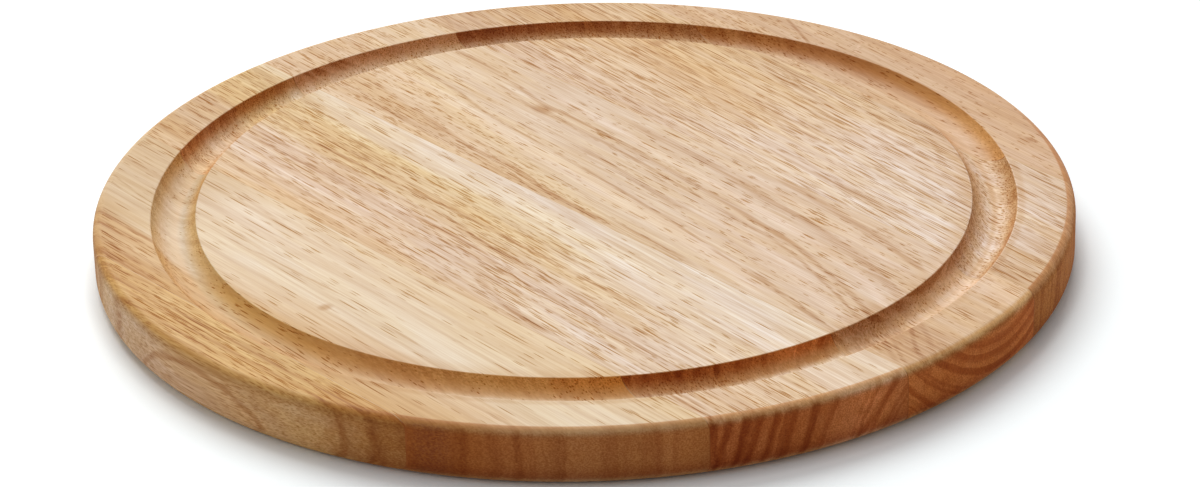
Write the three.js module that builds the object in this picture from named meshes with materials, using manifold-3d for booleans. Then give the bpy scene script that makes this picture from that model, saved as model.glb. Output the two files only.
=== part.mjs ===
// A round wooden steak plate. Parallel staves are glued edge to edge, turned to a disc with rounded edges,
// and grooved round the serving face, so that the juices of the meat stay on the plate.
// Millimetres, +Z up. The origin is the middle of the underside, and the glue joints run along X.
import * as THREE from "three";
import { mergeVertices } from "three/addons/utils/BufferGeometryUtils.js";
import Module from "manifold-3d";

// Plate
const PLATE_DIAMETER = 250;
const PLATE_THICKNESS = 15;
const TOP_EDGE_RADIUS = 2.6;
const BOTTOM_EDGE_RADIUS = 4;

// Juice groove, cut by a round-nosed cutter and sanded round along both of its edges
const RIM_WIDTH = 14.5; // from the plate's outside to the groove's outer edge
const GROOVE_CUTTER_RADIUS = 6;
const GROOVE_DEPTH = 4;
const GROOVE_EDGE_RADIUS = 0.4;

// Staves and the cured glue between them. The round cuts into the two outer staves, and the staves
// between those are equally wide.
const INNER_STAVES = 4;
const BACK_STAVE_WIDTH = 31.9; // what is left of the outer stave at +Y, at its widest
const FRONT_STAVE_WIDTH = 15.9; // what is left of the outer stave at -Y, at its widest
const GLUE_THICKNESS = 0.2;

// Facets
const TURNING_SEGMENTS = 96;
const PLATE_EDGE_STEPS = 5;
const GROOVE_STEPS = 10;
const GROOVE_EDGE_STEPS = 2;
const OVERCUT = 2; // how far a cutting block reaches past the plate
const WELD_DISTANCE = 1e-4;

// Finish, by stave from +Y to -Y
const WOOD_COLOURS = [0xdab894, 0xd6b48e, 0xd8b68f, 0xdcbf97, 0xe2cba6, 0xd3a871];
const WOOD_ROUGHNESS = 0.55;
const GLUE_COLOUR = 0xb08a5c;
const GLUE_ROUGHNESS = 0.4;

// Worked out from the sizes above
const PLATE_RADIUS = PLATE_DIAMETER / 2;
const HALF_GLUE = GLUE_THICKNESS / 2;
const FIRST_JOINT_Y = PLATE_RADIUS - BACK_STAVE_WIDTH - HALF_GLUE;
const LAST_JOINT_Y = FRONT_STAVE_WIDTH + HALF_GLUE - PLATE_RADIUS;
const JOINT_PITCH = (FIRST_JOINT_Y - LAST_JOINT_Y) / INNER_STAVES;

const wasm = await Module();
wasm.setup();

function arc(centreR, centreZ, radius, fromAngle, toAngle, steps) {
  const clockwise = toAngle < fromAngle;
  const curve = new THREE.EllipseCurve(centreR, centreZ, radius, radius, fromAngle, toAngle, clockwise);
  return curve.getPoints(steps);
}

// The groove's section from its outer edge to its inner edge: an edge round, the cutter's arc, an edge round.
// Each edge round touches the flat top and the cutter's arc, or an upright wall where the groove is deep.
function grooveSection() {
  const reach = GROOVE_CUTTER_RADIUS + GROOVE_EDGE_RADIUS;
  const rise = Math.max(0, reach - GROOVE_DEPTH);
  const halfWidth = Math.sqrt(reach ** 2 - rise ** 2);
  const contact = Math.asin(rise / reach);
  const middle = PLATE_RADIUS - RIM_WIDTH - halfWidth;
  const cutterZ = PLATE_THICKNESS - GROOVE_DEPTH + GROOVE_CUTTER_RADIUS;
  const edgeZ = PLATE_THICKNESS - GROOVE_EDGE_RADIUS;
  const up = Math.PI / 2;
  const edge = (r, from, to) => arc(r, edgeZ, GROOVE_EDGE_RADIUS, from, to, GROOVE_EDGE_STEPS);
  return [
    ...edge(middle + halfWidth, up, Math.PI - contact),
    ...arc(middle, cutterZ, GROOVE_CUTTER_RADIUS, -contact, contact - Math.PI, GROOVE_STEPS),
    ...edge(middle - halfWidth, contact, up),
  ];
}

// The plate's half section from the middle of the underside, round the outside, to the middle of the top.
function plateSection() {
  const bottomR = PLATE_RADIUS - BOTTOM_EDGE_RADIUS;
  const topR = PLATE_RADIUS - TOP_EDGE_RADIUS;
  const topZ = PLATE_THICKNESS - TOP_EDGE_RADIUS;
  return [
    new THREE.Vector2(0, 0),
    ...arc(bottomR, BOTTOM_EDGE_RADIUS, BOTTOM_EDGE_RADIUS, -Math.PI / 2, 0, PLATE_EDGE_STEPS),
    ...arc(topR, topZ, TOP_EDGE_RADIUS, 0, Math.PI / 2, PLATE_EDGE_STEPS),
    ...grooveSection(),
    new THREE.Vector2(0, PLATE_THICKNESS),
  ];
}

// Neighbouring points of an outline that coincide become one.
function withoutRepeats(points) {
  return points.filter((point, i) => i === 0 || point.distanceTo(points[i - 1]) > WELD_DISTANCE);
}

function solidOf(geometry) {
  geometry.deleteAttribute("normal");
  geometry.deleteAttribute("uv");
  const welded = mergeVertices(geometry, WELD_DISTANCE);
  const corners = welded.index.array;
  const triVerts = [];
  for (let i = 0; i < corners.length; i += 3) {
    const triangle = corners.slice(i, i + 3);
    if (new Set(triangle).size === 3) {
      triVerts.push(...triangle);
    }
  }
  const mesh = new wasm.Mesh({
    numProp: 3,
    vertProperties: welded.attributes.position.array,
    triVerts: new Uint32Array(triVerts),
  });
  return new wasm.Manifold(mesh);
}

function geometryOf(solid) {
  const mesh = solid.getMesh();
  const geometry = new THREE.BufferGeometry();
  geometry.setAttribute("position", new THREE.BufferAttribute(mesh.vertProperties, 3));
  geometry.setIndex(new THREE.BufferAttribute(mesh.triVerts, 1));
  geometry.computeVertexNormals();
  return geometry;
}

function turnedPlate() {
  const lathe = new THREE.LatheGeometry(withoutRepeats(plateSection()), TURNING_SEGMENTS);
  return solidOf(lathe.rotateX(Math.PI / 2));
}

// A block between two upright planes across Y, larger than the plate every other way.
function slab(lowY, highY) {
  const reach = PLATE_RADIUS + OVERCUT;
  const outline = new THREE.Shape([
    new THREE.Vector2(-reach, lowY),
    new THREE.Vector2(reach, lowY),
    new THREE.Vector2(reach, highY),
    new THREE.Vector2(-reach, highY),
  ]);
  const depth = PLATE_THICKNESS + 2 * OVERCUT;
  const block = new THREE.ExtrudeGeometry(outline, { depth, bevelEnabled: false });
  return solidOf(block.translate(0, 0, -OVERCUT));
}

// The middle of each glue joint, from +Y to -Y.
function jointLines() {
  const lines = [];
  for (let i = 0; i <= INNER_STAVES; i += 1) {
    lines.push(FIRST_JOINT_Y - i * JOINT_PITCH);
  }
  return lines;
}

function piece(name, solid, color, roughness) {
  const material = new THREE.MeshStandardMaterial({ color, roughness, metalness: 0 });
  const mesh = new THREE.Mesh(geometryOf(solid), material);
  mesh.name = name;
  return mesh;
}

const plate = turnedPlate();
const joints = jointLines();
const outside = PLATE_RADIUS + OVERCUT;
const staveTops = [outside, ...joints.map((y) => y - HALF_GLUE)];
const staveBottoms = [...joints.map((y) => y + HALF_GLUE), -outside];

const steakPlate = new THREE.Group();
staveTops.forEach((highY, i) => {
  const stave = plate.intersect(slab(staveBottoms[i], highY));
  const colour = WOOD_COLOURS[i % WOOD_COLOURS.length];
  steakPlate.add(piece(`stave_${i + 1}`, stave, colour, WOOD_ROUGHNESS));
});
joints.forEach((y, i) => {
  const glue = plate.intersect(slab(y - HALF_GLUE, y + HALF_GLUE));
  steakPlate.add(piece(`glue_line_${i + 1}`, glue, GLUE_COLOUR, GLUE_ROUGHNESS));
});

export default steakPlate;
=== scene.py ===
# A round wooden steak plate: turned staves in oiled timber with a juice groove, on a pale floor.
import math
from dataclasses import dataclass, field

import bmesh
import bpy
from mathutils import Matrix, Vector


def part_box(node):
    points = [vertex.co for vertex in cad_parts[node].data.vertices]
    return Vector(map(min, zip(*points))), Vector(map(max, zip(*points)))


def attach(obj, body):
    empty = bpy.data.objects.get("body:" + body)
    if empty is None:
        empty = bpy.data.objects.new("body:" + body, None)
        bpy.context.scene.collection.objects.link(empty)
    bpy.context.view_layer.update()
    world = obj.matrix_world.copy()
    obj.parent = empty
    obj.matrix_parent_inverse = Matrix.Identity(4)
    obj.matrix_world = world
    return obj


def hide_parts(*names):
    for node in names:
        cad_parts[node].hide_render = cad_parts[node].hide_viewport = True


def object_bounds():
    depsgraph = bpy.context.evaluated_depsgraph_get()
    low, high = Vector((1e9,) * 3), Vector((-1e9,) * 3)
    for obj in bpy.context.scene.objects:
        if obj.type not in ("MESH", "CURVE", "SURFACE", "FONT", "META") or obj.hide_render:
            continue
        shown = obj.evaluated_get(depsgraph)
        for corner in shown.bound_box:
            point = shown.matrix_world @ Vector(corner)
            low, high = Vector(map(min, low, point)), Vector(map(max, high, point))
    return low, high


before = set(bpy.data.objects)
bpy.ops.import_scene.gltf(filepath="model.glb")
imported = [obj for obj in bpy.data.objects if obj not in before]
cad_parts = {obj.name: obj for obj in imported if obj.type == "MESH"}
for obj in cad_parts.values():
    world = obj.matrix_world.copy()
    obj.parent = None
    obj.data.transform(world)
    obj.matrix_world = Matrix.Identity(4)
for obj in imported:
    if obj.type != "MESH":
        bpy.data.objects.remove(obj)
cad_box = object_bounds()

# Units: the frame is in metres, and the sizes below are in millimetres.
MM = 0.001

# Plate. Its outside and the joints come from the frame, and the section is the turned one.
PLATE_RADIUS = (cad_box[1][0] - cad_box[0][0]) / 2 / MM
PLATE_THICKNESS = (cad_box[1][2] - cad_box[0][2]) / MM
TOP_EDGE_RADIUS = 2.6
BOTTOM_EDGE_RADIUS = 4.0
RIM_WIDTH = 14.5
GROOVE_CUTTER_RADIUS = 6.0
GROOVE_DEPTH = 4.0
GROOVE_EDGE_RADIUS = 0.4

# Facets, and how far inside the plate's outside a node has to end to be cut there
TURNING_SEGMENTS = 512
EDGE_STEPS = 16
GROOVE_STEPS = 36
GROOVE_EDGE_STEPS = 6
SUPPORT_GAP = 0.35
DISC_RINGS = 4
JOINT_MARGIN = 1.0
CUT_TOLERANCE = 1e-5

# Camera, fitted to the outline and the groove's edges. The photo's frame is 1200 by 487 pixels.
PHOTO_WIDTH = 1200
PHOTO_HEIGHT = 487
FOCAL_PIXELS = 4470
TOP_CENTRE_PIXEL = (583.6, 194.4)
CAMERA_AZIMUTH = 49.34
CAMERA_ELEVATION = 25.82
CAMERA_ROLL = -1.625
CAMERA_DISTANCE = 1140.7
SENSOR_WIDTH = 36

# Lights, each as (direction it comes from, distance, diameter, power in watts)
KEY = ((-0.58, 0.30, 0.75), 3000, 2400, 88.0)
FILL = ((-0.35, -0.85, 0.50), 2500, 1800, 9.0)
WORLD_STRENGTH = 0.25

# Floor. Its glow for the camera fades where the plate closes off the sky above it, which paints a darker
# contact shadow on the floor beside the plate.
FLOOR_SIZE = 9000
FLOOR_GAP = 0.1
FLOOR_COLOUR = (0.86, 0.86, 0.86)
FLOOR_SEEN_COLOUR = (0.935, 0.985, 0.995)
FLOOR_GLOW = 0.19
CONTACT_REACH = 5.0
CONTACT_POWER = 2.0

# Low sheen of oiled wood, as the shader's specular level
SHEEN = 0.14


def linear(hex_colour):
    """A colour written as 0xRRGGBB, as three linear numbers."""
    channels = [(hex_colour >> shift & 255) / 255 for shift in (16, 8, 0)]
    return tuple(v / 12.92 if v <= 0.04045 else ((v + 0.055) / 1.055) ** 2.4 for v in channels)


def opaque(colour):
    """Three numbers as the four that a colour socket takes. A socket stays as it is."""
    return (*colour, 1.0) if isinstance(colour, tuple) else colour


# Section of the plate, as (radius, height) points from the middle of the underside to the middle of the top


def arc(centre_r, centre_z, radius, start, end, steps):
    angles = [start + (end - start) * i / steps for i in range(steps + 1)]
    return [(centre_r + radius * math.cos(t), centre_z + radius * math.sin(t)) for t in angles]


def groove_section():
    reach = GROOVE_CUTTER_RADIUS + GROOVE_EDGE_RADIUS
    rise = reach - GROOVE_DEPTH
    half_width = math.sqrt(reach**2 - rise**2)
    contact = math.asin(rise / reach)
    middle = PLATE_RADIUS - RIM_WIDTH - half_width
    cutter_z = PLATE_THICKNESS - GROOVE_DEPTH + GROOVE_CUTTER_RADIUS
    edge_z = PLATE_THICKNESS - GROOVE_EDGE_RADIUS
    up = math.pi / 2
    outer = arc(middle + half_width, edge_z, GROOVE_EDGE_RADIUS, up, math.pi - contact, GROOVE_EDGE_STEPS)
    floor = arc(middle, cutter_z, GROOVE_CUTTER_RADIUS, -contact, contact - math.pi, GROOVE_STEPS)
    inner = arc(middle - half_width, edge_z, GROOVE_EDGE_RADIUS, contact, up, GROOVE_EDGE_STEPS)
    return outer + floor[1:-1] + inner


def plate_section():
    """Support points beside each round keep the flats flat under smooth shading."""
    bottom_r = PLATE_RADIUS - BOTTOM_EDGE_RADIUS
    top_r = PLATE_RADIUS - TOP_EDGE_RADIUS
    top_z = PLATE_THICKNESS - TOP_EDGE_RADIUS
    groove = groove_section()
    disc_r = groove[-1][0] - SUPPORT_GAP
    section = [(bottom_r * i / DISC_RINGS, 0.0) for i in range(DISC_RINGS)]
    section += [(bottom_r - SUPPORT_GAP, 0.0)]
    section += arc(bottom_r, BOTTOM_EDGE_RADIUS, BOTTOM_EDGE_RADIUS, -math.pi / 2, 0, EDGE_STEPS)
    section += [(PLATE_RADIUS, BOTTOM_EDGE_RADIUS + SUPPORT_GAP), (PLATE_RADIUS, top_z - SUPPORT_GAP)]
    section += arc(top_r, top_z, TOP_EDGE_RADIUS, 0, math.pi / 2, EDGE_STEPS)
    section += [(top_r - SUPPORT_GAP, PLATE_THICKNESS), (groove[0][0] + SUPPORT_GAP, PLATE_THICKNESS)]
    section += groove
    section += [(disc_r * i / DISC_RINGS, PLATE_THICKNESS) for i in range(DISC_RINGS, -1, -1)]
    return section


def turned_plate():
    """The whole plate as one bmesh in metres, turned about Z."""
    mesh = bmesh.new()
    rings = []
    for radius, height in plate_section():
        if radius == 0:
            rings.append([mesh.verts.new((0, 0, height * MM))] * TURNING_SEGMENTS)
            continue
        ring = []
        for i in range(TURNING_SEGMENTS):
            turn = 2 * math.pi * i / TURNING_SEGMENTS
            place = (radius * math.cos(turn) * MM, radius * math.sin(turn) * MM, height * MM)
            ring.append(mesh.verts.new(place))
        rings.append(ring)
    for low, high in zip(rings, rings[1:]):
        for i in range(TURNING_SEGMENTS):
            j = (i + 1) % TURNING_SEGMENTS
            corners = [low[i], low[j], high[j], high[i]]
            mesh.faces.new(list(dict.fromkeys(corners)))
    return mesh


def cut_and_cap(mesh, y, keep_below):
    """Cuts the mesh at a plane across Y, keeps one side of it and closes the cut with a flat face."""
    geometry = mesh.verts[:] + mesh.edges[:] + mesh.faces[:]
    cut = bmesh.ops.bisect_plane(
        mesh, geom=geometry, dist=CUT_TOLERANCE * MM, plane_co=(0, y, 0), plane_no=(0, 1, 0),
        clear_outer=keep_below, clear_inner=not keep_below,
    )
    edges = [part for part in cut["geom_cut"] if isinstance(part, bmesh.types.BMEdge)]
    caps = bmesh.ops.holes_fill(mesh, edges=edges)["faces"]
    for cap in caps:
        cap.smooth = False
        for edge in cap.edges:
            edge.smooth = False


def make_piece(name, node, material):
    """The stretch of the turned plate that a CAD node stands for, as a smooth piece with flat glue faces."""
    low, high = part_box(node)
    mesh = turned_plate()
    for face in mesh.faces:
        face.smooth = True
    outermost = (PLATE_RADIUS - JOINT_MARGIN) * MM
    if high.y < outermost:
        cut_and_cap(mesh, high.y, True)
    if low.y > -outermost:
        cut_and_cap(mesh, low.y, False)
    bmesh.ops.recalc_face_normals(mesh, faces=mesh.faces[:])
    data = bpy.data.meshes.new(name)
    mesh.to_mesh(data)
    mesh.free()
    data.materials.append(material)
    piece = bpy.data.objects.new(name, data)
    bpy.context.scene.collection.objects.link(piece)
    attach(piece, "root")
    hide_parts(node)
    return piece


class Shader:
    """Adds nodes to one material. Inputs are sockets, which are linked, or values, which are set."""

    def __init__(self, name):
        self.material = bpy.data.materials.new(name)
        self.material.use_nodes = True
        self.tree = self.material.node_tree
        self.tree.nodes.clear()

    def add(self, kind, inputs, **settings):
        node = self.tree.nodes.new(kind)
        for name, value in settings.items():
            setattr(node, name, value)
        for key, value in inputs.items():
            if isinstance(value, bpy.types.NodeSocket):
                self.tree.links.new(value, node.inputs[key])
            else:
                node.inputs[key].default_value = value
        return node

    def math(self, operation, *values):
        return self.add("ShaderNodeMath", dict(enumerate(values)), operation=operation).outputs[0]

    def vector(self, operation, *values):
        node = self.add("ShaderNodeVectorMath", dict(enumerate(values)), operation=operation)
        return node.outputs["Value" if operation == "DOT_PRODUCT" else "Vector"]

    def scaled(self, vector, lengths):
        """A vector divided by a length for each of its axes."""
        return self.vector("DIVIDE", vector, lengths)

    def ramp(self, value, low, high, to_low=0.0, to_high=1.0):
        """A smooth step of a value between two levels."""
        inputs = {"Value": value, "From Min": low, "From Max": high, "To Min": to_low, "To Max": to_high}
        node = self.add("ShaderNodeMapRange", inputs, interpolation_type="SMOOTHSTEP")
        return node.outputs["Result"]

    def noise(self, vector, lengths, detail=2.0, roughness=0.5, offset=(0, 0, 0)):
        moved = self.vector("ADD", self.scaled(vector, lengths), offset)
        inputs = {"Vector": moved, "Scale": 1.0, "Detail": detail, "Roughness": roughness}
        return self.add("ShaderNodeTexNoise", inputs).outputs["Fac"]

    def mix(self, factor, a, b, blend="MIX"):
        inputs = {0: factor, 6: opaque(a), 7: opaque(b)}
        return self.add("ShaderNodeMix", inputs, data_type="RGBA", blend_type=blend).outputs[2]

    def number(self, factor, a, b):
        return self.add("ShaderNodeMix", {0: factor, 2: a, 3: b}, data_type="FLOAT").outputs[0]

    def tint(self, colour, factor, stain):
        """A colour multiplied by a stain, as far as the factor says."""
        return self.mix(factor, colour, stain, "MULTIPLY")

    def finish(self, bsdf_inputs):
        bsdf = self.add("ShaderNodeBsdfPrincipled", {**bsdf_inputs, "Specular IOR Level": SHEEN})
        self.add("ShaderNodeOutputMaterial", {"Surface": bsdf.outputs[0]})
        return self.material


# Stains and tints multiply the wood's red, green and blue. This one leaves it as it is.
PLAIN = (1.0, 1.0, 1.0)


@dataclass
class Line:
    """A growth line that stands out: (x, y) points where it crosses the serving face, and how it leans.

    A line pales the wood where its strength is negative. Upright lines are broken where they are thin, and
    wider dark ones are streaky. Leaning lines are whole. With end set, only end grain shows the line.
    """

    points: list
    half_width: float
    strength: float
    lean: float = 0.0
    end: bool = False
    stain: tuple = None


@dataclass
class Timber:
    """How one stave was sawn, and the figure and stain that it shows. Lengths are in millimetres.

    grain is the turn of the grain in degrees. pith is the middle of the growth rings, as a place across the
    grain and a height over the serving face, and dive is how much it rises along the grain.
    bands_left and bands_right hold (y, colour, streaks) across the stave, where its grain lines cross
    x = 0 on the serving face. The left set fades into the right one along the stave.
    left_reach and right_reach say where an end's tint starts and where it is full.
    rings holds how strong the growth rings are on flat faces and on end grain.
    Left and right stains are for the two ends of the stave, flanks are faces along the grain, and turns are
    levels of steepness, or of the cut across the grain, between which a stain sets in.
    flecks hold (x, y, half length, half width, strength) of small marks.
    """

    grain: float
    pith: tuple
    bands_left: list
    bands_right: list
    dive: float = 0.0
    fade: tuple = (-60, 60)
    contrast: float = 1.0
    pores: float = 1.0
    pore_length: float = 1.0
    rings: tuple = (0.25, 0.6)
    left_tint: tuple = PLAIN
    left_reach: tuple = (-75, -108)
    right_tint: tuple = PLAIN
    right_reach: tuple = (80, 108)
    # The wall stains are partly oil in the cut walls and partly painted shade.
    wall_oil_and_shade: tuple = (0.84, 0.60, 0.36)
    wall_end_oil_and_shade: tuple = (0.90, 0.65, 0.50)
    lip_stain: tuple = PLAIN
    inner_left: tuple = PLAIN
    inner_right: tuple = PLAIN
    inner_flank: tuple = PLAIN
    outer_left: tuple = PLAIN
    outer_right: tuple = PLAIN
    side_stain: tuple = (0.62, 0.30, 0.12)
    side_turn: tuple = (0.15, 0.45)
    round_stain: tuple = (0.83, 0.58, 0.37)
    round_turn: tuple = (0.03, 0.2)
    flank_left: tuple = PLAIN
    flank_right: tuple = PLAIN
    edge_stain: tuple = PLAIN
    seed: float = 0.0
    lines: list = field(default_factory=list)
    flecks: list = field(default_factory=list)


# Where the stripes of the end grain at +X start, and how far arcs reach along the front stave's side
END_STRIPE_START = 60
SIDE_ARC_REACH = 70
SIDE_ARC_LEAN = -0.24
PURPLE_STAIN = (0.76, 0.70, 0.88)


def end_stripes(places, half_width, strength, lean, stain=None):
    """Lines on the end grain at +X, given by the y at which they would meet the serving face."""
    stripes = []
    for y in places:
        points = [(END_STRIPE_START, y), (PLATE_RADIUS, y)]
        stripes.append(Line(points, half_width, strength, lean, True, stain))
    return stripes


def side_arc(y, half_width, strength):
    """A leaning line along the grain, which the round side of the front stave cuts as an arc."""
    return Line([(-SIDE_ARC_REACH, y), (SIDE_ARC_REACH, y)], half_width, strength, SIDE_ARC_LEAN)


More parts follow.
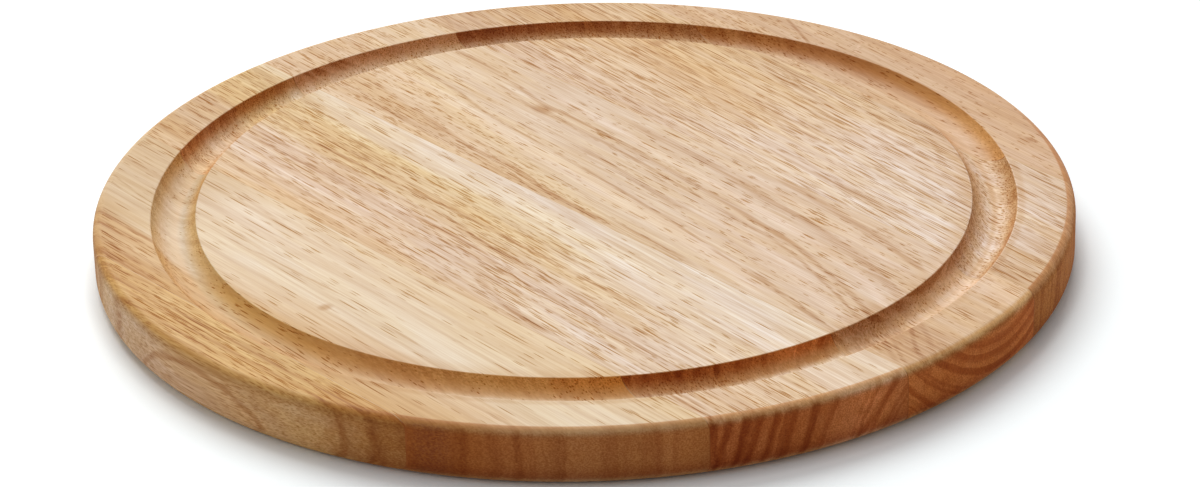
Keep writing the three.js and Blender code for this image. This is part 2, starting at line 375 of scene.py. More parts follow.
TIMBERS = [
    Timber(
        grain=-5, pith=(300, -60), seed=1.0, contrast=0.7, pores=0.7, pore_length=0.45,
        left_tint=(0.94, 0.92, 0.92), left_reach=(10, -30),
        wall_oil_and_shade=(0.88, 0.58, 0.27), outer_right=(1.11, 1.33, 1.55), outer_left=(0.90, 0.82, 0.80),
        bands_left=[(93, 0xDEBB93, 0.6), (110, 0xD7B38B, 0.5), (125, 0xD2A97D, 0.5)],
        bands_right=[(93, 0xDCB893, 0.3), (110, 0xD5AE89, 0.3), (125, 0xCEA27B, 0.4)],
        lines=[
            Line([(-45, 114.5), (-36, 110.5), (-27, 106.5)], 0.5, 0.8),
            Line([(-38, 114.5), (-28, 111), (-20, 108.5)], 2.6, -0.5),
            Line([(-19, 118), (-16, 113.5), (-14, 110)], 0.7, -0.9),
        ],
        flecks=[(57, 105, 2.5, 1.2, 0.7)],
    ),
    Timber(
        grain=-5, pith=(240, -40), seed=2.0, contrast=1.05, pores=1.8, pore_length=1.3,
        left_tint=(0.88, 0.82, 0.74), right_tint=(0.87, 0.76, 0.61), right_reach=(80, 106),
        wall_oil_and_shade=(0.90, 0.70, 0.46), wall_end_oil_and_shade=(0.92, 0.70, 0.58), lip_stain=(0.91, 0.83, 0.72),
        inner_right=(1.0, 1.05, 1.15), outer_left=(0.78, 0.60, 0.52), outer_right=(0.87, 0.88, 0.84),
        side_stain=(0.71, 0.36, 0.112),
        bands_left=[
            (42, 0xE2C4A3, 0.6), (55, 0xDFBE96, 0.8), (68, 0xDDB889, 0.9), (78, 0xDAB78B, 0.9),
            (93, 0xD3AE7F, 0.9),
        ],
        bands_right=[
            (42, 0xE6CDB4, 0.5), (55, 0xE8CFB6, 0.7), (68, 0xE8D0B8, 0.8), (80, 0xE7CCB1, 0.7),
            (93, 0xE4C8AA, 0.6),
        ],
        flecks=[
            (-57, 78, 3.0, 4.0, 0.6), (93, 66, 3.0, 1.0, 0.6), (15, 65.5, 7.0, 1.3, 0.45),
            (-72, 58, 7.0, 1.2, 0.45), (-17, 60, 6.0, 0.8, 0.45), (25, 84, 6.0, 1.0, 0.45),
            (45, 50, 7.0, 1.0, 0.45), (-38, 72, 5.0, 0.8, 0.45),
        ],
    ),
    Timber(
        grain=-3, pith=(35, 42), dive=-0.12, fade=(-10, 70), seed=3.0,
        contrast=0.82, pores=0.5, pore_length=0.7, rings=(0.05, 0.85),
        left_tint=(0.97, 0.96, 0.97), left_reach=(-85, -112),
        right_tint=(0.97, 0.90, 0.78), right_reach=(94, 112),
        wall_oil_and_shade=(0.95, 0.78, 0.58), wall_end_oil_and_shade=(0.97, 0.82, 0.72), lip_stain=(0.97, 0.93, 0.87),
        outer_left=(1.03, 0.97, 1.05),
        side_stain=(0.86, 0.385, 0.14), round_stain=(1.08, 0.92, 0.64), round_turn=(0.1, 0.5),
        bands_left=[
            (-8, 0xDCBA91, 0.9), (-3, 0xDFC19A, 0.7), (4, 0xDFC2A0, 0.4), (12, 0xDCBF9F, 0.5),
            (30, 0xDCBE9D, 0.6),
        ],
        bands_right=[
            (-8, 0xE2C39B, 0.5), (-3, 0xE3C6A0, 0.4), (4, 0xE2C5A3, 0.3), (12, 0xDFC1A1, 0.4),
            (30, 0xDFC0A0, 0.6),
        ],
        lines=[
            Line(
                [(-20, 37), (0, 36), (20, 33.5), (40, 31), (55, 29), (70, 26), (85, 22), (100, 15)],
                1.3, 0.5,
            ),
            Line([(28, 42), (45, 40), (60, 37.5), (75, 35), (92, 31)], 1.0, 0.55),
            Line(
                [
                    (-92, 34.7), (-75, 33.5), (-62, 31.5), (-50, 29), (-38, 28.6), (-15, 27.5), (0, 26),
                    (20, 23.5), (32, 22.3), (45, 20.5), (60, 18), (72, 14.5), (84, 11), (100, 4.5),
                ],
                0.8, 0.65,
            ),
            Line(
                [
                    (-70, 28.5), (-60, 27.5), (-50, 25.5), (-40, 25.6), (-30, 25), (-15, 24), (0, 22.5),
                    (20, 20.3), (35, 18.5), (50, 17), (62, 14.5), (75, 10.5), (88, 6), (100, 1),
                ],
                0.55, 0.6,
            ),
            Line([(-20, 17.8), (-5, 16), (10, 14), (25, 12.5)], 0.9, 0.45),
            Line(
                [
                    (-96, 20), (-75, 18.3), (-57, 14.8), (-40, 12.8), (-20, 11), (0, 8.8), (20, 6.5),
                    (35, 4.5), (45, 2.5), (60, 0), (70, -1.5), (85, -4.5), (98, -6.5),
                ],
                0.5, 0.65,
            ),
            Line(
                [
                    (-70, 2), (-62, 1), (-50, -1), (-45, -2), (-38, -2.5), (-28, -2.4), (-18, -3.8),
                    (-8, -5.2), (4, -6), (20, -5.6), (45, -6.3),
                ],
                0.8, 0.75,
            ),
            Line([(-95, -2.5), (-75, -3.5), (-50, -4.5), (-30, -5.8), (0, -7), (48, -7.5)], 1.0, 0.35),
            Line([(-92, 5), (-82, 3.8), (-74, 3)], 0.4, 0.7),
            Line([(62, 0.5), (75, -1.6), (92, -5.2)], 0.6, 0.6),
            Line(
                [
                    (-95, 14.5), (-75, 13), (-55, 10.5), (-35, 8.5), (-15, 6.5), (0, 5.5), (20, 3),
                    (40, 0.8), (58, -2.4), (72, -4.5),
                ],
                2.4, -0.75,
            ),
            Line(
                [
                    (-50, 34.2), (-40, 33.2), (-25, 32.5), (-10, 30.8), (10, 28.8), (30, 26.8),
                    (50, 24.5), (70, 21), (85, 17), (100, 9.5),
                ],
                1.3, -0.7,
            ),
            Line([(-10, 40), (10, 38.5), (30, 36.5), (50, 33.8), (70, 31), (90, 27)], 1.2, -0.5),
            Line([(25, 15.8), (40, 13.8), (55, 12), (70, 7.5), (85, 2.5), (98, -2.5)], 2.0, -0.4),
            Line([(98, 2), (108, 2), (125, 2)], 8.0, 0.55),
            Line([(103, 10), (107, 8.8), (110, 7.6), (114, 4.5), (119, 0.6), (124, -1.8)], 0.7, 0.6),
            Line([(108, 12), (112, 9.8), (116.6, 7), (121, 4)], 0.8, 0.35),
            Line([(103, 2), (107.4, -0.3), (113.4, -3.6), (119, -6.6)], 0.8, 0.45),
            Line([(108, 2), (111.4, 0.2), (116.7, -3.1), (122, -6)], 0.6, 0.4),
            Line([(92, 38), (108, 37), (125, 35)], 4.5, -1.0),
        ],
        flecks=[(-46.5, 26.5, 4.5, 2.6, 0.8), (-40, 16.3, 5.0, 0.5, 0.6)],
    ),
    Timber(
        grain=-3, pith=(14, -21), fade=(-10, 70), seed=4.0, contrast=0.92, pores=0.9,
        left_tint=(0.87, 0.80, 0.65), right_tint=(1.0, 0.95, 0.87),
        wall_oil_and_shade=(0.88, 0.60, 0.32), wall_end_oil_and_shade=(0.94, 0.66, 0.48),
        inner_right=(0.80, 0.64, 0.46), outer_left=(1.02, 1.15, 1.45),
        side_stain=(0.62, 0.235, 0.078), round_stain=(0.92, 0.68, 0.46),
        bands_left=[
            (-58, 0xDFBC92, 0.5), (-50, 0xE0C2A3, 0.5), (-40, 0xE1C2A1, 0.7), (-33, 0xE1C193, 0.8),
            (-30, 0xDFBD8C, 0.9), (-23, 0xE2C494, 0.8), (-19, 0xE8D0AE, 0.4), (-8, 0xEAD6BF, 0.25),
        ],
        bands_right=[
            (-58, 0xE2C5A1, 0.5), (-50, 0xE7CDB1, 0.7), (-40, 0xE4C8AA, 0.8), (-32, 0xE6CAA9, 0.7),
            (-25, 0xE7CDAE, 0.5), (-18, 0xEAD3B9, 0.3), (-8, 0xEBD6BD, 0.25),
        ],
        lines=[
            Line([(-95, -29.4), (-50, -30), (-20, -29.7), (10, -30.5), (30, -31), (58, -32)], 0.45, 0.8),
            Line([(-90, -36), (-80, -36.2), (-68, -36)], 0.4, 0.6),
            Line([(-88, -39.5), (-70, -39.8), (-46, -40.2)], 0.6, 0.7),
            Line([(-20, -33), (5, -36), (30, -38.5), (52, -40.6)], 0.5, 0.7),
            Line([(-25, -39.5), (3, -39.6), (14, -41.5)], 0.7, 0.65),
            Line([(18, -50), (30, -53.5), (48, -56.5)], 1.1, 0.65),
            Line([(-62, -50.3), (-54, -50.6), (-46, -50.4)], 0.6, 0.6),
            Line([(-40, -41.5), (0, -43), (50, -44.5), (85, -46)], 0.4, 0.5),
            Line([(-80, -45.5), (-50, -46), (-15, -46.5)], 2.0, -0.5),
            Line([(-60, -54), (-30, -53.5), (0, -53)], 1.0, -0.5),
            Line([(82, -55.5), (96, -56.5), (114, -57.5)], 0.5, 0.9),
            Line([(78, -53.5), (95, -54.5), (116, -55.6)], 0.4, 0.6),
            *end_stripes([-57.7, -53.8, -49.8, -46.8, -42.8, -38.6, -33.4], 0.9, 0.9, 0.28),
            *end_stripes([-10.5], 1.2, 1.0, 0.9),
            # The palest stripe is laid twice.
            *end_stripes([-14, -14, -20], 6.0, -1.0, 0.5),
        ],
    ),
    Timber(
        grain=-2, pith=(300, 0), seed=5.0, contrast=0.5, pores=0.68, pore_length=1.3, rings=(0.25, 0.35),
        left_tint=(0.82, 0.74, 0.62), left_reach=(-45, -82),
        wall_oil_and_shade=(0.96, 0.75, 0.43), wall_end_oil_and_shade=(0.98, 0.74, 0.42), lip_stain=(0.91, 0.84, 0.76),
        inner_left=(0.86, 0.93, 1.02), inner_right=(0.90, 0.72, 0.54), inner_flank=(1.14, 1.24, 1.3),
        outer_left=(1.08, 1.24, 1.7),
        side_stain=(0.55, 0.25, 0.097), side_turn=(0.1, 0.3), round_stain=(0.77, 0.54, 0.35),
        bands_left=[
            (-109, 0xD2A468, 0.8), (-103, 0xDCB685, 0.7), (-98, 0xDBB481, 0.6), (-95, 0xE3C6A0, 0.3),
            (-85, 0xE9D2B3, 0.25), (-72, 0xE9D1B3, 0.4), (-58, 0xE7CCA8, 0.6),
        ],
        bands_right=[
            (-109, 0xD1A56C, 0.5), (-100, 0xD8B17F, 0.4), (-91, 0xE1C19A, 0.3), (-82, 0xE9D3B4, 0.25),
            (-72, 0xE9D1AF, 0.3), (-58, 0xE6C9A0, 0.5),
        ],
        lines=[
            Line([(-95, -82), (-84, -83), (-72, -83.6)], 0.35, 0.8),
            Line([(-94, -79.5), (-87, -80.5), (-80, -81.5)], 0.3, 0.6),
            Line([(-80, -94.3), (-68, -95), (-55, -95.4)], 0.4, 0.8),
            Line([(-76, -98), (-66, -98), (-54, -97.5)], 0.9, 0.8),
            Line([(-68, -101.2), (-58, -102), (-46, -102.7)], 0.35, 0.8),
            Line([(-45, -103), (-32, -104), (-20, -105)], 0.5, 0.6),
            Line([(-46, -80.4), (-20, -80), (0, -79.6), (16, -79.6)], 0.3, 0.6),
            Line([(22, -82.3), (29, -82.6), (36, -82.8)], 0.35, 0.6),
            Line([(-62, -62.5), (-50, -64.5), (-38, -66)], 0.6, 0.4),
            Line([(-62, -103.6), (-55, -104.6), (-46, -105.4)], 0.6, 0.6),
            Line([(-63, -107), (-52, -107.5), (-40, -108)], 0.9, 0.7),
            *end_stripes([-106], 2.6, 0.9, 0.0, PURPLE_STAIN),
            *end_stripes([-101.5, -93.5, -86.5, -79, -69], 0.7, 0.4, 0.0),
            *end_stripes([-66], 5.0, -1.0, 0.0),
        ],
        flecks=[(3.2, -86.6, 2.0, 2.3, 0.75)],
    ),
    Timber(
        grain=0, pith=(300, 42), seed=6.0, contrast=1.1, pores=1.4,
        left_tint=(0.96, 0.90, 0.76), left_reach=(0, -45),
        right_tint=(0.85, 0.68, 0.53), right_reach=(28, 58),
        outer_left=(1.04, 1.17, 1.5), side_stain=(0.62, 0.46, 0.36), side_turn=(0.28, 0.55),
        flank_left=(1.06, 1.27, 2.3), flank_right=(0.97, 0.97, 1.2), edge_stain=(0.87, 0.80, 0.66),
        bands_left=[(-125, 0xD4AA72, 0.6), (-117, 0xD9B075, 0.6), (-109, 0xD9B077, 0.6)],
        bands_right=[(-125, 0xD1A161, 0.6), (-117, 0xD5A965, 0.6), (-109, 0xD6AC6A, 0.6)],
        lines=[
            Line([(-40, -116), (-12, -117), (44, -116.5), (70, -116)], 0.45, 0.65, -0.05),
            Line([(-20, -114), (40, -113.5), (70, -113)], 0.4, 0.65, -0.05),
            Line([(-55, -111.2), (-45, -110.8), (-32, -110.1)], 0.5, 0.7),
            Line([(-48, -113.8), (-30, -115), (-8, -115.9)], 0.5, 0.8),
            Line([(-41, -119), (-20, -119.8), (2, -120.4)], 0.5, 0.7),
            side_arc(-125.6, 0.22, 0.6),
            side_arc(-127.2, 1.6, -0.8),
        ],
    ),
]

# How far the figure sways: lengths of the sway along, across and down, and its whole width
RING_WAVE = ((90, 16, 16), 5.0)
RIPPLE = ((24, 5, 5), 1.2)
FADE_SWAY = ((50, 8, 8), 80.0)
REACH_SWAY = ((30, 6, 6), 30.0)
LINE_END_SWAY = ((20, 3, 3), 16.0)
FIGURE_ROUGHNESS = 0.6
SEED_STEPS = (7.3, 3.1, 5.7)

# What a layer of the figure does to the wood's colour at its dark and at its pale end
DARK_TONE = (0.85, 0.76, 0.65)
PALE_TONE = (1.15, 1.24, 1.36)

# Layers of the figure: lengths along, across and down, then detail and strength
FIGURE_LAYERS = [
    ((60, 5.0, 5.0), 2.0, 0.26),
    ((34, 0.95, 0.95), 3.0, 0.37),
    ((18, 0.38, 0.38), 2.0, 0.60),
]
TONE_LEVELS = (0.34, 0.66)

# Patches in which pores crowd and the wood is golden, between paler and pinker ones
PATCH_LENGTHS = (36, 5.0, 5.0)
PATCH_LEVELS = (0.36, 0.64)
GOLDEN_PATCH = (0.99, 0.97, 0.91)
PINK_PATCH = (1.01, 1.04, 1.13)
PORES_IN_PATCHES = (0.9, 2.2)

# Growth rings: lengths along the grain and across the rings, and the levels at which one is dark
RING_LENGTHS = (220, 2.2, 1.0)
RING_DETAIL = 2.0
RING_ROUGHNESS = 0.55
RING_LEVELS = (0.46, 0.62)

# Drawn lines. Those thinner than THIN_LINE have gaps. Core and edge are shares of a line's half width.
LINE_STAIN = (0.65, 0.45, 0.25)
PALE_STAIN = (1.12, 1.16, 1.25)
THIN_LINE = 0.7
LINE_GAP_LENGTHS = (9, 0.8, 0.8)
LINE_GAPS = (0.35, 0.6, 0.25, 1.0)
LINE_STREAK_LENGTHS = (30, 0.55, 0.55)
LINE_STREAKS = (0.36, 0.62, 0.35, 1.25)
LINE_CORE = 0.3
LINE_EDGE = 1.7
LINE_END_FADE = 4
FLECK_CORE = 0.2
FLECK_EDGE = 1.2

# Pores: length and spacing of the cells that hold one each, and the share of a cell that it fills
PORE_LAYERS = [(22.0, 0.68, 0.22), (13.0, 0.56, 0.22), (7.0, 0.46, 0.22)]
PORE_STAIN = (0.56, 0.30, 0.02)
PORE_CROWDING = 1.7
PORE_NUMBER = 1.3
PORE_KEPT = (-0.05, 0.1)
PORE_CORE = 0.8
PORE_EDGE = 1.35
PORE_DEPTHS = (0.6, 1.0)
PORES_ON_OUTSIDE = 0.6
PORES_ON_ENDS = 0.4

# Fine stipple of the cut fibres on end grain
STIPPLE_LENGTHS = (5, 0.36, 0.36)
STIPPLE_DETAIL = 1.0
STIPPLE_LEVELS = (0.36, 0.64)
STIPPLE_STRENGTH = 0.8

# Surface of the oiled wood, smoother on some fibres than on others and duller in pores and on end grain
FIBRE_LENGTHS = (22, 0.4, 0.4)
FIBRE_DETAIL = 3.0
FIBRE_LEVELS = (0.2, 0.8)
FIBRE_ROUGHNESS = (0.48, 0.6)
PORE_ROUGHNESS = 0.2
END_ROUGHNESS = 0.25
FIBRE_RELIEF = 0.35
RELIEF_DEPTH = 0.1
RELIEF_STRENGTH = 0.5

# Faces: how steep they are from 0 to 1, how far they cut across the grain, and where the outside starts
LEAST_STEEPNESS = 0.05
OUTSIDE_RADIUS = (111.5, 113.0)
END_STEEPNESS = (0.5, 0.95)
END_TURN = (0.15, 0.6)
ROUND_STEEPNESS = (0.03, 0.2)
RIGHT_SIDE = (-40, 40)

# Stains of the groove, partly oil in the cut walls and partly painted shade. Walls turned away from the
# shown side, towards the key lamp, have only a share of theirs, so the painted shade is deepest on walls
# that face away from the lamp.
SHOWN_SIDE = (0.76, -0.65, 0.0)
HIDDEN_WALL_TURN = (-0.45, -0.22)
HIDDEN_WALL_SHARE = 0.35
WALL_STEEPNESS = (0.15, 0.85)
WALL_END_STEEPNESS = (0.5, 0.9)
WALL_END_TURN = (0.6, 0.9)
LIP_RADIUS = (93.0, 98.0)
LIP_STEEPNESS = (0.0, 0.2)
GROOVE_MIDDLE = (104.0, 105.2)
INNER_STEEPNESS = (0.02, 0.42)
INNER_SIDES = (-40, 70)
INNER_FLANK_TURN = (0.0, 0.5)
INNER_END_TURN = (0.5, 0.9)
LOW_INNER_STEEPNESS = (0.45, 0.75)
LOW_INNER_STAIN = (0.95, 0.86, 0.74)

# Stains of the outside, and painted shade low on the right end near the floor, with heights from the serving
# face
SIDE_STEEPNESS = (0.7, 1.03)
LEFT_END_STAIN = (0.84, 0.82, 0.95)
FLANK_SIDES = (-50, 0)
PAINTED_LOW_SHADE_HEIGHT = (-14.0, -8.5)
PAINTED_LOW_SHADE = (0.72, 0.53, 0.45)
EDGE_STEEPNESS = (0.1, 0.45)
EDGE_HEIGHT = (-4.0, -2.0)


def ring_radius(timber, y):
    """The radius of the growth ring that meets the serving face at x = 0 and this y."""
    turn = math.radians(timber.grain)
    return math.hypot(y * math.cos(turn) - timber.pith[0], timber.pith[1])


class Wood(Shader):
    """Solid wood, figured through and through, so that each face shows the figure that it cuts."""

    def __init__(self, name, timber):
        super().__init__(name)
        self.timber = timber
        turn = math.radians(timber.grain)
        self.along_axis = Vector((math.cos(turn), math.sin(turn), 0))
        self.across_axis = Vector((-math.sin(turn), math.cos(turn), 0))
        self.seed = tuple(timber.seed * step for step in SEED_STEPS)
        self.place_in_grain()
        self.place_in_rings()
        self.find_faces()

    def place_in_grain(self):
        """Position along the grain, across it, and up from the serving face."""
        place = self.add("ShaderNodeTexCoord", {}).outputs["Object"]
        place = self.vector("DIVIDE", place, (MM, MM, MM))
        parts = self.add("ShaderNodeSeparateXYZ", {0: place}).outputs
        self.x, self.y = parts[0], parts[1]
        self.height = self.math("SUBTRACT", parts[2], PLATE_THICKNESS)
        self.radius = self.length(self.join(self.x, self.y, 0.0))
        self.along = self.vector("DOT_PRODUCT", place, self.along_axis)
        self.across = self.vector("DOT_PRODUCT", place, self.across_axis)
        self.grain = self.join(self.along, self.across, self.height)

    def join(self, x, y, z):
        return self.add("ShaderNodeCombineXYZ", {0: x, 1: y, 2: z}).outputs[0]

    def length(self, vector):
        return self.add("ShaderNodeVectorMath", {0: vector}, operation="LENGTH").outputs["Value"]

    def product(self, *values):
        result = values[0]
        for value in values[1:]:
            result = self.math("MULTIPLY", result, value)
        return result

    def figure(self, lengths, detail=2.0):
        return self.noise(self.grain, lengths, detail, FIGURE_ROUGHNESS, self.seed)

    def sway(self, lengths, width):
        """Noise about zero, as far either way as half the width."""
        return self.math("MULTIPLY", self.math("SUBTRACT", self.figure(lengths), 0.5), width)

    def place_in_rings(self):
        """Distance from the pith, with the rings gently waved, and the noises that all drawn lines share."""
        timber = self.timber
        ripple = self.sway(*RIPPLE)
        self.rippled_y = self.math("ADD", self.y, ripple)
        self.line_gaps = self.ramp(self.figure(LINE_GAP_LENGTHS), *LINE_GAPS)
        self.line_streaks = self.ramp(self.figure(LINE_STREAK_LENGTHS), *LINE_STREAKS)
        self.line_ends = self.math("ADD", self.x, self.sway(*LINE_END_SWAY))
        wave = self.math("ADD", self.sway(*RING_WAVE), ripple)
        aside = self.math("SUBTRACT", self.math("ADD", self.across, wave), timber.pith[0])
        pith_height = self.math("MULTIPLY_ADD", self.along, timber.dive, timber.pith[1])
        above = self.math("SUBTRACT", self.height, pith_height)
        self.ring = self.length(self.join(aside, above, 0.0))

    def find_faces(self):
        """How steep a face is, how far it cuts across the grain, and which part of the plate it is on."""
        normal = self.add("ShaderNodeNewGeometry", {}).outputs["Normal"]
        self.steep = self.length(self.vector("MULTIPLY", normal, (1, 1, 0)))
        facing = self.math("ABSOLUTE", self.vector("DOT_PRODUCT", normal, self.along_axis))
        self.cross_cut = self.math("DIVIDE", facing, self.math("MAXIMUM", self.steep, LEAST_STEEPNESS))
        self.right = self.ramp(self.x, *RIGHT_SIDE)
        self.outside = self.ramp(self.radius, *OUTSIDE_RADIUS)
        self.inside = self.math("SUBTRACT", 1.0, self.outside)
        # Walls that face the shown side, away from the key lamp, take the groove's stains in full, which
        # paints shade on them; the others take a share.
        shown = self.vector("DOT_PRODUCT", normal, SHOWN_SIDE)
        share = self.ramp(shown, *HIDDEN_WALL_TURN, HIDDEN_WALL_SHARE, 1.0)
        self.groove = self.product(self.inside, share)
        ends = self.ramp(self.cross_cut, *END_TURN)
        self.end_grain = self.product(self.ramp(self.steep, *END_STEEPNESS), ends)
        self.outside_wall = self.product(self.outside, self.ramp(self.steep, *ROUND_STEEPNESS))
        self.outside_end = self.product(self.outside_wall, ends)

    def band_ramp(self, bands):
        """A colour ramp over the growth rings. Its alpha is how streaky the wood is there."""
        stops = sorted((ring_radius(self.timber, y), colour, streaks) for y, colour, streaks in bands)
        low, high = stops[0][0], stops[-1][0]
        place = self.add("ShaderNodeMapRange", {"Value": self.ring, "From Min": low, "From Max": high})
        node = self.add("ShaderNodeValToRGB", {"Fac": place.outputs["Result"]})
        node.color_ramp.interpolation = "EASE"
        elements = node.color_ramp.elements
        while len(elements) < len(stops):
            elements.new(0.5)
        for element, (radius, colour, streaks) in zip(elements, stops):
            element.position = (radius - low) / (high - low)
            element.color = (*linear(colour), streaks)
        return node.outputs["Color"], node.outputs["Alpha"]

    def reached(self, place, start, full):
        """How far a place has got from where a tint starts to where it is full."""
        if full > start:
            return self.ramp(place, start, full)
        return self.ramp(place, full, start, 1.0, 0.0)

    def bands(self):
        """The wood's ground colour, and how streaky it is."""
        timber = self.timber
        left, left_streaks = self.band_ramp(timber.bands_left)
        right, right_streaks = self.band_ramp(timber.bands_right)
        fade = self.ramp(self.math("ADD", self.along, self.sway(*FADE_SWAY)), *timber.fade)
        colour = self.mix(fade, left, right)
        place = self.math("ADD", self.along, self.sway(*REACH_SWAY))
        colour = self.tint(colour, self.reached(place, *timber.left_reach), timber.left_tint)
        colour = self.tint(colour, self.reached(place, *timber.right_reach), timber.right_tint)
        return colour, self.number(fade, left_streaks, right_streaks)

    def tone(self, colour, value, strength):
        """Darkens and pales a colour by a value from 0 to 1."""
        return self.tint(colour, strength, self.mix(value, DARK_TONE, PALE_TONE))

    def curve_through(self, points):
        """The y of a curve that runs through (x, y) points, at this place's x."""
        reach = PLATE_RADIUS
        place = self.add("ShaderNodeMapRange", {"Value": self.x, "From Min": -reach, "From Max": reach})
        node = self.add("ShaderNodeFloatCurve", {"Value": place.outputs["Result"]})
        curve = node.mapping.curves[0]
        spots = [((x + reach) / (2 * reach), (y + 2 * reach) / (4 * reach)) for x, y in points]
        curve.points[0].location = spots[0]
        curve.points[1].location = spots[-1]
        for spot in spots[1:-1]:
            curve.points.new(*spot)
        node.mapping.update()
        return self.math("MULTIPLY_ADD", node.outputs[0], 4 * reach, -2 * reach)

    def line_mask(self, line):
        """How far a place lies within a line that is drawn through points."""
        middle = self.math("MULTIPLY_ADD", self.height, line.lean, self.curve_through(line.points))
        off = self.math("ABSOLUTE", self.math("SUBTRACT", self.rippled_y, middle))
        core, edge = line.half_width * LINE_CORE, line.half_width * LINE_EDGE
        mask = self.ramp(off, core, edge, abs(line.strength), 0.0)
        if line.half_width < THIN_LINE and not line.lean:
            mask = self.product(mask, self.line_gaps)
        elif line.strength > 0 and not line.lean:
            mask = self.product(mask, self.line_streaks)
        start, end = line.points[0][0], line.points[-1][0]
        begun = self.ramp(self.line_ends, start - LINE_END_FADE, start + LINE_END_FADE)
        unended = self.ramp(self.line_ends, end - LINE_END_FADE, end + LINE_END_FADE, 1.0, 0.0)
        mask = self.product(mask, begun, unended)
        return self.product(mask, self.end_grain) if line.end else mask

    def fleck_mask(self, x, y, half_length, half_width, strength):
        spot = Vector((x, y, 0))
        off_along = self.math("SUBTRACT", self.along, spot.dot(self.along_axis))
        off_across = self.math("SUBTRACT", self.across, spot.dot(self.across_axis))
        off = self.join(off_along, off_across, self.height)
        distance = self.length(self.scaled(off, (half_length, half_width, half_width)))
        return self.ramp(distance, FLECK_CORE, FLECK_EDGE, strength, 0.0)

    def draw_marks(self, colour):
        """Growth rings, then the lines and flecks that stand out."""
        timber = self.timber
        place = self.join(self.along, self.ring, 0.0)
        rings = self.noise(place, RING_LENGTHS, RING_DETAIL, RING_ROUGHNESS, self.seed)
        rings = self.product(self.ramp(rings, *RING_LEVELS), self.number(self.end_grain, *timber.rings))
        colour = self.tint(colour, rings, LINE_STAIN)
        for line in timber.lines:
            stain = line.stain or (LINE_STAIN if line.strength > 0 else PALE_STAIN)
            colour = self.tint(colour, self.line_mask(line), stain)
        for fleck in timber.flecks:
            colour = self.tint(colour, self.fleck_mask(*fleck), LINE_STAIN)
        return colour

    def pores(self, streaks, patch):
        """Short dashes along the grain, which the end grain shows as dots."""
        crowd = self.number(patch, *PORES_IN_PATCHES)
        streaky = self.math("POWER", streaks, PORE_CROWDING)
        wanted = self.product(streaky, crowd, self.timber.pores * PORE_NUMBER)
        most = 0.0
        for length, spacing, share in PORE_LAYERS:
            size = (length * self.timber.pore_length, spacing, spacing)
            cells = self.vector("ADD", self.scaled(self.grain, size), self.seed)
            cell = self.add("ShaderNodeTexVoronoi", {"Vector": cells, "Scale": 1.0}, feature="F1")
            chance = self.add("ShaderNodeSeparateColor", {0: cell.outputs["Color"]}).outputs
            kept = self.ramp(self.math("SUBTRACT", wanted, chance[0]), *PORE_KEPT)
            dash = self.ramp(cell.outputs["Distance"], share * PORE_CORE, share * PORE_EDGE, 1.0, 0.0)
            deep = self.number(chance[1], *PORE_DEPTHS)
            most = self.math("MAXIMUM", most, self.product(dash, kept, deep))
        most = self.product(most, self.number(self.outside_wall, 1.0, PORES_ON_OUTSIDE))
        return self.product(most, self.number(self.outside_end, 1.0, PORES_ON_ENDS))

    def stain_groove(self, colour):
        """Darkens the groove's walls, partly for the oil that they drink more of than the flat faces and
        partly as painted shade, deepest on the walls turned away from the key lamp.
        """
        timber = self.timber
        # The wall stains are partly oil and partly painted shade, weighted towards walls that face away from
        # the key lamp.
        walls_oil_and_shade = self.product(self.groove, self.ramp(self.steep, *WALL_STEEPNESS))
        colour = self.tint(colour, walls_oil_and_shade, timber.wall_oil_and_shade)
        ends = self.product(self.groove, self.ramp(self.steep, *WALL_END_STEEPNESS))
        ends = self.product(ends, self.ramp(self.cross_cut, *WALL_END_TURN))
        colour = self.tint(colour, ends, timber.wall_end_oil_and_shade)
        lip = self.product(self.right, self.inside, self.ramp(self.radius, *LIP_RADIUS))
        lip = self.product(lip, self.ramp(self.steep, *LIP_STEEPNESS, 1.0, 0.0))
        colour = self.tint(colour, lip, timber.lip_stain)
        inner = self.product(self.groove, self.ramp(self.steep, *INNER_STEEPNESS))
        inner = self.product(inner, self.ramp(self.radius, *GROOVE_MIDDLE, 1.0, 0.0))
        flank = self.product(inner, self.ramp(self.cross_cut, *INNER_FLANK_TURN, 1.0, 0.0))
        colour = self.tint(colour, flank, timber.inner_flank)
        low = self.product(inner, self.right, self.ramp(self.cross_cut, *INNER_END_TURN))
        low = self.product(low, self.ramp(self.steep, *LOW_INNER_STEEPNESS, 1.0, 0.0))
        colour = self.tint(colour, low, LOW_INNER_STAIN)
        inner_right = self.ramp(self.x, *INNER_SIDES)
        colour = self.tint(colour, inner, self.mix(inner_right, timber.inner_left, timber.inner_right))
        outer = self.product(walls_oil_and_shade, self.ramp(self.radius, *GROOVE_MIDDLE))
        return self.tint(colour, outer, self.mix(self.right, timber.outer_left, timber.outer_right))

    def stain_outside(self, colour):
        """Darkens the end grain at the right and its round, paints shade on the low part of that side near
        the floor, and tints the other sides.
        """
        timber = self.timber
        across = self.ramp(self.cross_cut, *timber.side_turn)
        right_end = self.product(across, self.right)
        rounds = self.product(self.outside, self.ramp(self.steep, *timber.round_turn))
        colour = self.tint(colour, self.product(rounds, right_end), timber.round_stain)
        sides = self.product(self.outside, self.ramp(self.steep, *SIDE_STEEPNESS))
        beyond_round = tuple(side / top for side, top in zip(timber.side_stain, timber.round_stain))
        end_stain = self.mix(self.right, LEFT_END_STAIN, beyond_round)
        flank_right = self.ramp(self.x, *FLANK_SIDES)
        flank_stain = self.mix(flank_right, timber.flank_left, timber.flank_right)
        colour = self.tint(colour, sides, self.mix(across, flank_stain, end_stain))
        # Painted shade: the right end grows darker towards the floor.
        low = self.product(sides, right_end, self.ramp(self.height, *PAINTED_LOW_SHADE_HEIGHT, 1.0, 0.0))
        colour = self.tint(colour, low, PAINTED_LOW_SHADE)
        edge = self.product(self.ramp(self.steep, *EDGE_STEEPNESS), self.ramp(self.height, *EDGE_HEIGHT))
        return self.tint(colour, self.product(edge, self.outside), timber.edge_stain)

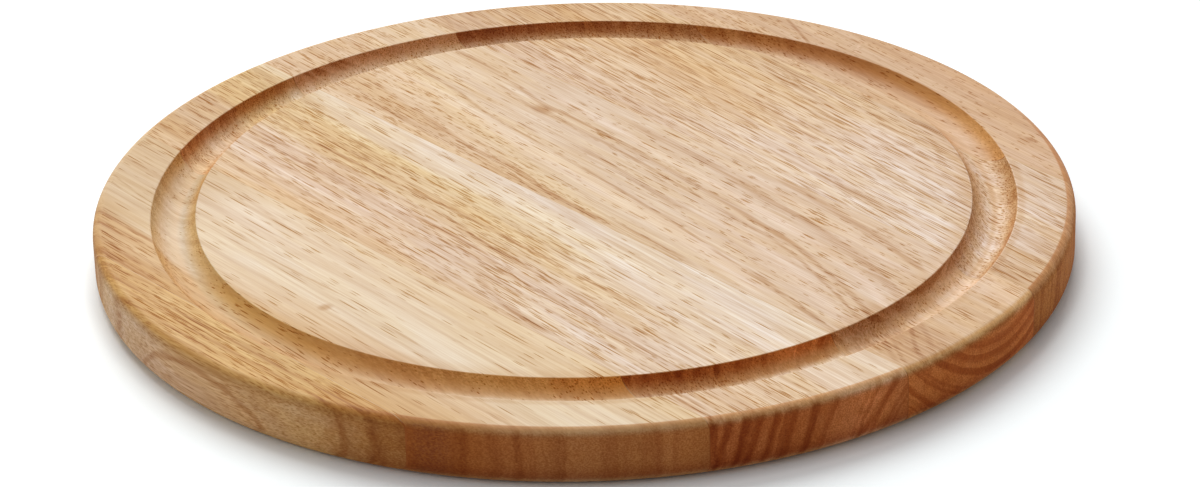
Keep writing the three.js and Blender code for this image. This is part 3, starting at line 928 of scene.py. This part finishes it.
    def oiled(self, colour, pores):
        """The finished material, with the relief of its fibres and pores."""
        fibre = self.figure(FIBRE_LENGTHS, FIBRE_DETAIL)
        rough = self.ramp(fibre, *FIBRE_LEVELS, *FIBRE_ROUGHNESS)
        rough = self.math("MULTIPLY_ADD", pores, PORE_ROUGHNESS, rough)
        rough = self.math("MULTIPLY_ADD", self.end_grain, END_ROUGHNESS, rough)
        relief = self.math("SUBTRACT", self.math("MULTIPLY", fibre, FIBRE_RELIEF), pores)
        depth = {"Height": relief, "Distance": RELIEF_DEPTH * MM, "Strength": RELIEF_STRENGTH}
        bump = self.add("ShaderNodeBump", depth)
        return self.finish({"Base Color": colour, "Roughness": rough, "Normal": bump.outputs[0]})

    def build(self):
        contrast = self.timber.contrast
        colour, streaks = self.bands()
        for lengths, detail, strength in FIGURE_LAYERS:
            value = self.ramp(self.figure(lengths, detail), *TONE_LEVELS)
            colour = self.tone(colour, value, strength * contrast)
        patch = self.ramp(self.figure(PATCH_LENGTHS), *PATCH_LEVELS)
        colour = self.tint(colour, contrast, self.mix(patch, PINK_PATCH, GOLDEN_PATCH))
        colour = self.draw_marks(colour)
        pores = self.pores(streaks, patch)
        colour = self.tint(colour, pores, PORE_STAIN)
        stipple = self.ramp(self.figure(STIPPLE_LENGTHS, STIPPLE_DETAIL), *STIPPLE_LEVELS)
        colour = self.tone(colour, stipple, self.product(self.end_grain, STIPPLE_STRENGTH))
        colour = self.stain_outside(self.stain_groove(colour))
        return self.oiled(colour, pores)


# Glue: its two colours, the size of its patches, and its stain on steep faces
GLUE_COLOURS = (0xDAB88E, 0xCBA272)
GLUE_PATCH_LENGTHS = (12 * MM, 12 * MM, 4 * MM)
GLUE_PATCH_DETAIL = 3
GLUE_PATCH_LEVELS = (0.35, 0.65)
GLUE_FLATNESS = (0.5, 1.0)
GLUE_SIDE_STAIN = (0.50, 0.20, 0.06)
GLUE_ROUGH_LEVELS = (0.3, 0.7)
GLUE_ROUGHNESS = (0.45, 0.6)


def glue():
    shader = Shader("glue")
    place = shader.add("ShaderNodeTexCoord", {}).outputs["Object"]
    patches = shader.noise(place, GLUE_PATCH_LENGTHS, GLUE_PATCH_DETAIL)
    pale, dark = [linear(colour) for colour in GLUE_COLOURS]
    colour = shader.mix(shader.ramp(patches, *GLUE_PATCH_LEVELS), pale, dark)
    normal = shader.add("ShaderNodeNewGeometry", {}).outputs["Normal"]
    flat = shader.math("ABSOLUTE", shader.vector("DOT_PRODUCT", normal, (0, 0, 1)))
    colour = shader.tint(colour, shader.ramp(flat, *GLUE_FLATNESS, 1.0, 0.0), GLUE_SIDE_STAIN)
    rough = shader.ramp(patches, *GLUE_ROUGH_LEVELS, *GLUE_ROUGHNESS)
    return shader.finish({"Base Color": colour, "Roughness": rough})


def floor_material():
    """Diffuse white that keeps the shadow, lifted to white for the camera."""
    shader = Shader("floor")
    rays = shader.add("ShaderNodeLightPath", {}).outputs
    seen = shader.math("MAXIMUM", rays["Is Camera Ray"], rays["Is Glossy Ray"])
    seen = shader.math("MAXIMUM", seen, rays["Is Transmission Ray"])
    white = shader.mix(seen, FLOOR_COLOUR, FLOOR_SEEN_COLOUR)
    diffuse = shader.add("ShaderNodeBsdfDiffuse", {"Color": white})
    # Painted contact shadow: ambient occlusion dims the camera's glow near the plate.
    contact = shader.add("ShaderNodeAmbientOcclusion", {"Distance": CONTACT_REACH * MM})
    open_sky = shader.math("POWER", contact.outputs["AO"], CONTACT_POWER)
    lift = shader.math("MULTIPLY", shader.math("MULTIPLY", seen, FLOOR_GLOW), open_sky)
    glow = shader.add("ShaderNodeEmission", {"Strength": lift})
    both = shader.add("ShaderNodeAddShader", {0: diffuse.outputs[0], 1: glow.outputs[0]})
    shader.add("ShaderNodeOutputMaterial", {"Surface": both.outputs[0]})
    return shader.material


def make_floor():
    mesh = bmesh.new()
    bmesh.ops.create_grid(mesh, x_segments=2, y_segments=2, size=FLOOR_SIZE * MM / 2)
    bmesh.ops.translate(mesh, verts=mesh.verts, vec=(0, 0, -FLOOR_GAP * MM))
    data = bpy.data.meshes.new("floor")
    mesh.to_mesh(data)
    mesh.free()
    data.materials.append(floor_material())
    floor = bpy.data.objects.new("floor", data)
    bpy.context.scene.collection.objects.link(floor)


def make_lamp(name, direction, distance, diameter, power):
    towards = Vector(direction).normalized()
    lamp = bpy.data.lights.new(name, "AREA")
    lamp.shape = "DISK"
    lamp.size = diameter * MM
    lamp.energy = power
    holder = bpy.data.objects.new(name, lamp)
    holder.location = towards * distance * MM
    holder.rotation_euler = towards.to_track_quat("Z", "Y").to_euler()
    bpy.context.scene.collection.objects.link(holder)


def make_world():
    """Soft light from all round, which the camera, glossy and transmission rays see as white."""
    world = bpy.data.worlds.new("studio")
    world.use_nodes = True
    tree = world.node_tree
    background = tree.nodes["Background"]
    background.inputs["Color"].default_value = (1, 1, 1, 1)
    rays = tree.nodes.new("ShaderNodeLightPath")
    strength = tree.nodes.new("ShaderNodeMapRange")
    strength.inputs["To Min"].default_value = WORLD_STRENGTH
    strength.inputs["To Max"].default_value = 1.0
    seen = rays.outputs["Is Camera Ray"]
    for kind in ("Is Glossy Ray", "Is Transmission Ray"):
        either = tree.nodes.new("ShaderNodeMath")
        either.operation = "MAXIMUM"
        tree.links.new(seen, either.inputs[0])
        tree.links.new(rays.outputs[kind], either.inputs[1])
        seen = either.outputs[0]
    tree.links.new(seen, strength.inputs["Value"])
    tree.links.new(strength.outputs["Result"], background.inputs["Strength"])
    bpy.context.scene.world = world


def make_camera():
    """Looks at the middle of the serving face, then turns until that lies on its pixel of the photo."""
    turn = Matrix.Rotation(math.radians(CAMERA_AZIMUTH), 3, "Z")
    tilt = Matrix.Rotation(math.radians(90 - CAMERA_ELEVATION), 3, "X")
    roll = Matrix.Rotation(math.radians(CAMERA_ROLL), 3, "Z")
    pan_right = math.atan((PHOTO_WIDTH / 2 - TOP_CENTRE_PIXEL[0]) / FOCAL_PIXELS)
    tilt_down = math.atan((PHOTO_HEIGHT / 2 - TOP_CENTRE_PIXEL[1]) / FOCAL_PIXELS)
    aim = Matrix.Rotation(-pan_right, 3, "Y") @ Matrix.Rotation(-tilt_down, 3, "X")
    away = turn @ tilt @ Vector((0, 0, 1))
    target = Vector((0, 0, PLATE_THICKNESS))
    lens = bpy.data.cameras.new("camera")
    lens.sensor_width = SENSOR_WIDTH
    lens.lens = SENSOR_WIDTH * FOCAL_PIXELS / PHOTO_WIDTH
    camera = bpy.data.objects.new("camera", lens)
    camera.matrix_world = (turn @ tilt @ roll @ aim).to_4x4()
    camera.location = (target + away * CAMERA_DISTANCE) * MM
    bpy.context.scene.collection.objects.link(camera)
    bpy.context.scene.camera = camera


for number, timber in enumerate(TIMBERS, 1):
    slot = f"wood_{number}"
    make_piece(f"turned_stave_{number}", f"stave_{number}", Wood(slot, timber).build())
glue_material = glue()
for number in range(1, len(TIMBERS)):
    make_piece(f"glue_film_{number}", f"glue_line_{number}", glue_material)
make_floor()
make_lamp("key", *KEY)
make_lamp("fill", *FILL)
make_world()
make_camera()
bpy.context.scene.view_settings.view_transform = "Standard"
